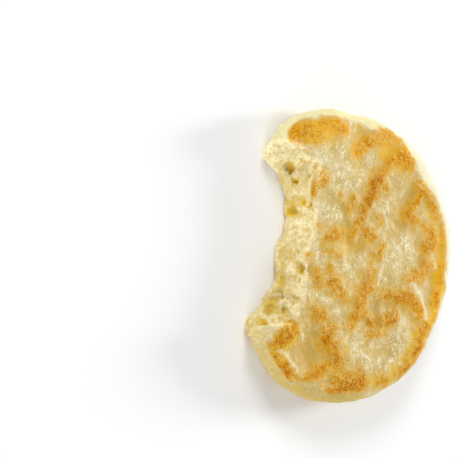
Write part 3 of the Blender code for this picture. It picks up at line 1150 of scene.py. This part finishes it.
def glint_share(make, at, amber):
    """Fine bright specks where the fat catches the light."""
    glint = make.total((at.fibre, 1.4), (at.grit, 1.1), (at.middle, 0.6), (at.recessed, -2.8))
    glint = make.total((at.smooth, -0.6), (glint, 1.0))
    near = make.ramp(at.x, -20 * MM, 20 * MM, 0.0, 0.12)
    glint = make.total((amber, -0.3), (near, 1.0), (glint, 1.0))
    return make.ramp(glint, 0.22, 0.75, 0.0, 0.75)


def sparkle_highlight_share(make, at, amber, toasted):
    """Painted highlights: fine pale sparkles in the browned skin."""
    sparkle = make.total((at.grit, 1.0), (at.fibre, 0.8), (at.recessed, -0.8), (at.smooth, -0.3))
    sparkle = make.total((amber, -0.1), (sparkle, 1.0))
    return make.math("MULTIPLY", make.ramp(sparkle, 0.26, 0.58, 0.0, 0.6), toasted)


def crumb_colour(make, at, glint):
    """The torn crumb: pale, with painted shade (deeper yellow) in its hollows, shaded folds and
    pits and growing away from the lobe, painted light near the lobe, and painted glints.
    """
    grain = ((at.middle, 0.6), (at.speck, 0.5), (at.fibre, 0.7))
    # Painted shade: deeper yellow in the hollows.
    deep = make.total((at.recessed, 1.0), *grain, (at.broad, 0.3), 0.62)
    # Painted light: the crumb paler toward the lobe.
    top = make.ramp(at.x, -36 * MM, -18 * MM, -0.19, 0.0)
    horn = make.ramp(at.x, 18 * MM, 28 * MM, 0.0, 0.6)
    deep = make.total((at.z, -20.0), (top, 1.0), (horn, 1.0), (deep, 1.0))
    # More painted shade in the crumb's shaded hollows and folds.
    deep = make.total((at.stains, 0.55), (at.pores, -0.4), (deep, 1.0), -0.03)
    tones = ((0.15, PALE_CRUMB), (0.5, CRUMB), (0.8, CRUMB_LOW), (1.0, CRUMB_HOLLOW_SHADE))
    crumb = make.gradient(deep, tones)
    crumb = make.mix(make.ramp(glint, 0.0, 1.0, 0.0, 0.35), crumb, GLINT)
    # Painted shade, growing away from the lobe.
    crumb = make.mix(make.ramp(at.x, -16 * MM, 18 * MM, 0.02, 0.26), crumb, SHADED_CRUMB)
    # Painted shade in the holes.
    pits = make.total((at.pits, 0.9), (at.middle, 0.5), (at.fibre, 0.7), (at.speck, 0.5))
    pits = make.total((at.recessed, 0.5), (pits, 1.0))
    return make.mix(make.ramp(pits, 0.2, 0.8, 0.0, 0.8), crumb, SHADED_PIT)


def set_surface(make, at, amber, toasted):
    """A soft sheen, duller where browned, amber or torn, over a fine grain."""
    sockets = make.shader.inputs
    rough = make.total((at.smooth, -0.06), (at.torn, 0.2), (at.speck, 0.25), 0.44)
    make.link(rough, sockets["Roughness"])
    dull = make.math("MAXIMUM", make.math("MAXIMUM", toasted, amber), at.torn)
    make.link(make.total((dull, -0.16), (at.torn, -0.04), 0.2), sockets["Specular IOR Level"])
    make.link(make.total((at.torn, 0.5), (toasted, -0.15), 0.2), sockets["Subsurface Weight"])
    sockets["Subsurface Radius"].default_value = (1.0, 0.9, 0.55)
    sockets["Subsurface Scale"].default_value = 1.3 * MM
    height = make.total((at.fibre, 0.6), (at.speck, 0.7), (at.net, 0.3))
    uneven = make.total((at.smooth, -0.75), (at.torn, -0.6), 1.0)
    height = make.math("MULTIPLY", height, uneven)
    height = make.total((make.math("MULTIPLY", at.pores, at.torn), 0.4), (height, 1.0))
    bump = make.new("ShaderNodeBump")
    bump.inputs["Strength"].default_value = 1.0
    bump.inputs["Distance"].default_value = 0.6 * MM
    make.link(height, bump.inputs["Height"])
    make.link(bump.outputs["Normal"], sockets["Normal"])


def make_blini_material():
    make = Nodes("blini_skin_and_crumb")
    at = mixing_parts(make)
    amber, toast = amber_share(make, at), toast_depth(make, at)
    toasted = make.ramp(toast, 0.04, 0.48)
    glint = glint_share(make, at, amber)
    skin = make.mix(at.face, rim_colour(make, at), pale_colour(make, at, amber))
    skin = make.mix(toasted, skin, baked_colour(make, at, toast))
    # Painted highlights: glints on the pale skin, and in a golden colour on the browned skin.
    shown = make.total((make.math("MAXIMUM", toasted, at.face), 1.0), (toasted, -0.3))
    skin = make.mix(make.math("MULTIPLY", glint, shown), skin, make.mix(toasted, GLINT, BROWN_GLINT))
    skin = make.mix(sparkle_highlight_share(make, at, amber, toasted), skin, SPARKLE_HIGHLIGHT)
    share = make.math("MULTIPLY", at.crumb, make.total((toasted, -1.0), 1.0))
    colour = make.mix(share, skin, crumb_colour(make, at, glint))
    make.link(colour, make.shader.inputs["Base Color"])
    set_surface(make, at, amber, toasted)
    return make.material


def make_floor_material():
    make = Nodes("studio_floor")
    make.link(FLOOR_COLOUR, make.shader.inputs["Base Color"])
    make.link(0.7, make.shader.inputs["Roughness"])
    return make.material


# ---- studio


def add_softbox(name, place, size, power):
    data = bpy.data.lights.new(name, "AREA")
    data.shape = "DISK"
    data.size = size
    data.energy = power
    light = add_object(name, data)
    light.location = place
    light.rotation_euler = (LIT_PLACE - Vector(place)).to_track_quat("-Z", "Y").to_euler()


def make_studio():
    mesh = bpy.data.meshes.new("floor")
    square = ((-1, -1), (1, -1), (1, 1), (-1, 1))
    corners = [(x * FLOOR_HALF, y * FLOOR_HALF, 0.0) for x, y in square]
    mesh.from_pydata(corners, [], [(0, 1, 2, 3)])
    floor = add_object("floor", mesh)
    floor.data.materials.append(make_floor_material())
    floor.location.z = -FLOOR_GAP

    world = bpy.data.worlds.new("studio")
    world.use_nodes = True
    background = world.node_tree.nodes["Background"]
    background.inputs["Color"].default_value = (1.0, 1.0, 1.0, 1.0)
    background.inputs["Strength"].default_value = WORLD_LIGHT
    bpy.context.scene.world = world
    for softbox in SOFTBOXES:
        add_softbox(*softbox)
    bpy.context.scene.view_settings.view_transform = "Standard"


def main():
    camera = make_camera()
    make_studio()
    blini = dress_blini(camera)
    blini.data.materials.clear()
    blini.data.materials.append(make_blini_material())
    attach(blini, "root")
    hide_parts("blini")


main()
